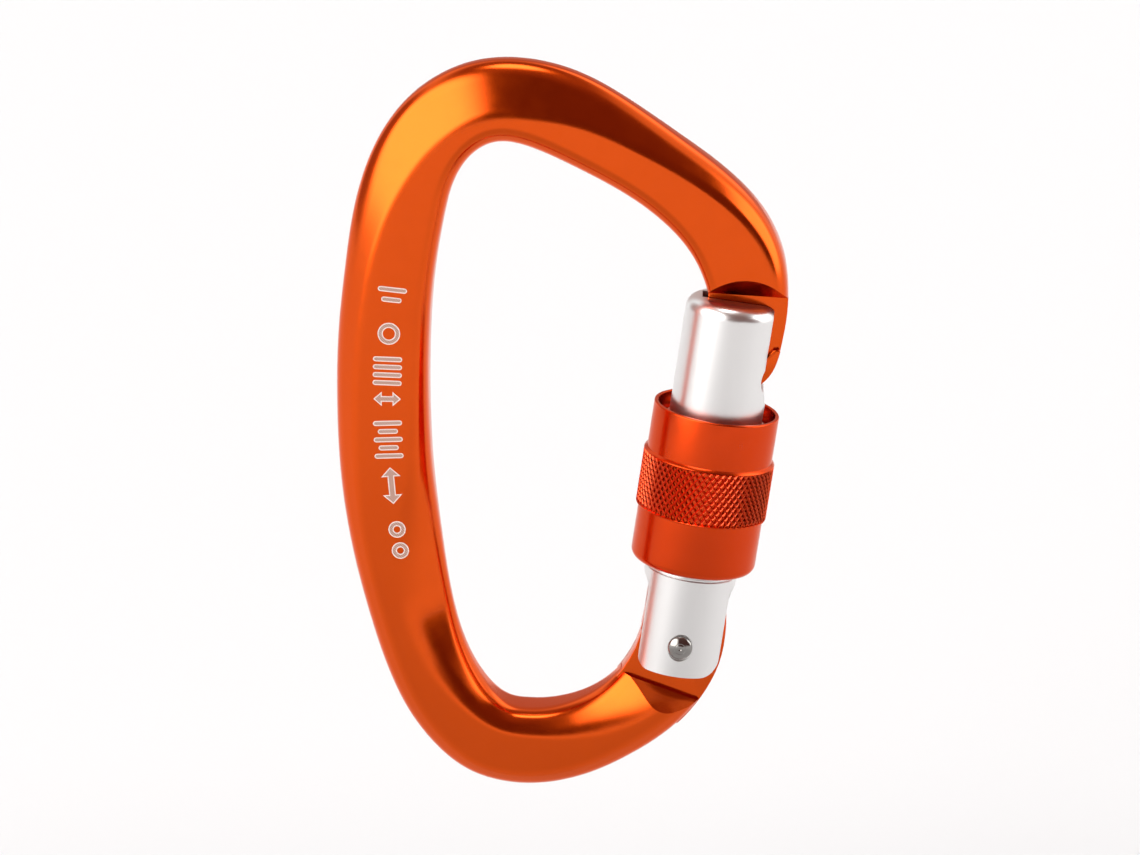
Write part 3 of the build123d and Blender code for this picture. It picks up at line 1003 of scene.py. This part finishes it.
def assign(piece, finish):
    """Give a piece one finish in place of those it has."""
    piece.data.materials.clear()
    piece.data.materials.append(finish)


# ---------------------------------------------------------------- studio
ROOM = (1.12, 1.14, 1.145)

# Dark and bright patches of the surroundings, each laid over those before it: azimuth and
# elevation of its middle in degrees (azimuth 0 is the front, 90 the right), the angles from
# there at which it starts to fade and has faded out, and its colour.
PATCHES = [
    (14, 32, 27, 42, (0.16, 0.070, 0.060)),
    (46, 36, 20, 32, (0.18, 0.080, 0.065)),
    (0, 90, 24, 46, (0.34, 0.20, 0.17)),
    (-104, 16, 18, 32, (0.42, 0.28, 0.26)),
    (0, 86, 8, 15, (5.0, 5.0, 5.0)),
    (-49, 26, 16, 35, (5.0, 4.9, 4.8)),
    (88, 20, 15, 27, (3.4, 3.4, 3.4)),
    (152, 34, 14, 24, (2.2, 2.2, 2.2)),
    (57, 4, 8, 29, (0.14, 0.050, 0.040)),
    (180, 16, 22, 40, (0.60, 0.47, 0.44)),
]


def studio_world():
    """Soft surroundings: a white room with bright soft boxes and dark patches between them."""
    world = bpy.data.worlds.new("studio")
    bpy.context.scene.world = world
    world.use_nodes = True
    tree = world.node_tree
    nodes, links = tree.nodes, tree.links
    direction = nodes.new("ShaderNodeTexCoord").outputs["Generated"]
    level = None
    for azimuth, elevation, inner, outer, colour in PATCHES:
        a, e = math.radians(azimuth), math.radians(elevation)
        toward = (math.sin(a) * math.cos(e), -math.cos(a) * math.cos(e), math.sin(e))
        dot = nodes.new("ShaderNodeVectorMath")
        dot.operation = "DOT_PRODUCT"
        dot.inputs[1].default_value = toward
        links.new(direction, dot.inputs[0])
        ramp = nodes.new("ShaderNodeMapRange")
        ramp.interpolation_type = "SMOOTHSTEP"
        ramp.inputs["From Min"].default_value = math.cos(math.radians(outer))
        ramp.inputs["From Max"].default_value = math.cos(math.radians(inner))
        links.new(dot.outputs["Value"], ramp.inputs["Value"])
        mix = nodes.new("ShaderNodeMix")
        mix.data_type = "RGBA"
        links.new(ramp.outputs["Result"], mix.inputs["Factor"])
        mix.inputs["A"].default_value = (*ROOM, 1)
        if level:
            links.new(level, mix.inputs["A"])
        mix.inputs["B"].default_value = (*colour, 1)
        level = mix.outputs["Result"]
    background = nodes["Background"]
    links.new(level, background.inputs["Color"])
    background.inputs["Strength"].default_value = 1.0


FLOOR_HALF = 4.0
FLOOR_DROP = 0.06
# First colour: a painted shadow on the floor in front of the object; second: the plain pale floor.
FLOOR_PAINTED_SHADOW = (0.52, 0.545, 0.555)
FLOOR_PALE = (0.775, 0.81, 0.825)


def studio_floor(low):
    """Pale floor below the object, with a painted shadow darkening it in front of the object."""
    z = low - FLOOR_DROP
    corners = [(-1, -1), (1, -1), (1, 1), (-1, 1)]
    floor = new_piece("floor", [(x * FLOOR_HALF, y * FLOOR_HALF, z) for x, y in corners],
                      [(0, 1, 2, 3)])
    finish, tree, shader = material("pale_floor")
    place = tree.nodes.new("ShaderNodeTexCoord")
    # Painted shadow: the floor's colour is darkest at a spot in front of the object and fades to pale
    # around it.
    distance = tree.nodes.new("ShaderNodeVectorMath")
    distance.operation = "DISTANCE"
    distance.inputs[1].default_value = (0.0, -0.16, z)
    tree.links.new(place.outputs["Object"], distance.inputs[0])
    shade = tree.nodes.new("ShaderNodeMapRange")
    shade.interpolation_type = "SMOOTHSTEP"
    shade.inputs["From Min"].default_value = 0.02
    shade.inputs["From Max"].default_value = 0.36
    tree.links.new(distance.outputs["Value"], shade.inputs["Value"])
    tree.links.new(blend_colour(tree, shade.outputs["Result"], FLOOR_PAINTED_SHADOW, FLOOR_PALE),
                   shader.inputs["Base Color"])
    shader.inputs["Roughness"].default_value = 0.9
    shader.inputs["Specular IOR Level"].default_value = 0.0
    assign(floor, finish)


CAMERA_ELEVATION = math.radians(16.0)
CAMERA_AZIMUTH = math.radians(2.0)
CAMERA_DISTANCE = 0.65
CAMERA_LENS = 150.9


def studio_camera():
    """Long lens, a little above the object and almost square to its front."""
    aim = Vector(drawn(0.14, 0, -1.06))
    level = math.cos(CAMERA_ELEVATION)
    away = Vector((math.sin(CAMERA_AZIMUTH) * level, -math.cos(CAMERA_AZIMUTH) * level,
                   math.sin(CAMERA_ELEVATION)))
    camera = bpy.data.objects.new("camera", bpy.data.cameras.new("camera"))
    bpy.context.scene.collection.objects.link(camera)
    camera.data.lens = CAMERA_LENS
    camera.data.sensor_width = 36.0
    camera.data.clip_start = 0.01
    camera.location = aim + away * CAMERA_DISTANCE
    camera.rotation_euler = away.to_track_quat("Z", "Y").to_euler()
    bpy.context.scene.camera = camera


# ---------------------------------------------------------------- assembly
orange = anodised("orange_anodised", (0.72, 0.079, 0.004), (0.79, 0.091, 0.005), 0.19, 0.22)
red_orange = anodised("red_orange_anodised", (0.61, 0.045, 0.003), (0.67, 0.053, 0.004), 0.24, 0.12)
knurled = anodised("knurled_red_orange", (0.64, 0.072, 0.020), (0.70, 0.082, 0.026), 0.36, 0.12)
silver = satin_silver()
steel = bright_steel("polished_steel", (0.31, 0.295, 0.28), 0.16)
wire = bright_steel("spring_steel", (0.52, 0.52, 0.53), 0.22)
ring_plastic = nylon()

body = build_body()
assign(body, orange)
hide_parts("frame")
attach(body, "frame")

sleeve = build_sleeve()
assign(sleeve, red_orange)
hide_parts("lock_sleeve")
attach(sleeve, "sleeve")

knurl = build_knurl(knurled)
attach(knurl, "sleeve")

gate = build_gate()
assign(gate, silver)
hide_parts("gate")
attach(gate, "gate")

thread = wound("gate_thread", THREAD_WIRE, THREAD_R, THREAD_LOW + THREAD_INSET,
               THREAD_HIGH - THREAD_INSET, THREAD_PITCH, silver)
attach(thread, "gate")

rivet = build_rivet()
assign(rivet, steel)
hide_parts("hinge_rivet")
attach(rivet, "gate")

spring = wound("coil_spring", SPRING_WIRE, SPRING_R, SPRING_LOW, SPRING_HIGH, SPRING_PITCH, wire)
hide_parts("return_spring")
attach(spring, "gate")
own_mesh(spring)

marks = build_marks(etched("etched_edge", (0.80, 0.68, 0.63), (0.88, 0.79, 0.74), 1500),
                    etched("etched_hatch", (0.40, 0.19, 0.14), (0.58, 0.40, 0.34), 1800))
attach(marks, "frame")

for node, finish in (("friction_ring", ring_plastic), ("spring_plunger", steel)):
    assign(frame["nodes"][node], finish)

bpy.context.scene.view_settings.view_transform = "Standard"
studio_world()
studio_floor(min(corner[2] for corner in cad_box))
studio_camera()
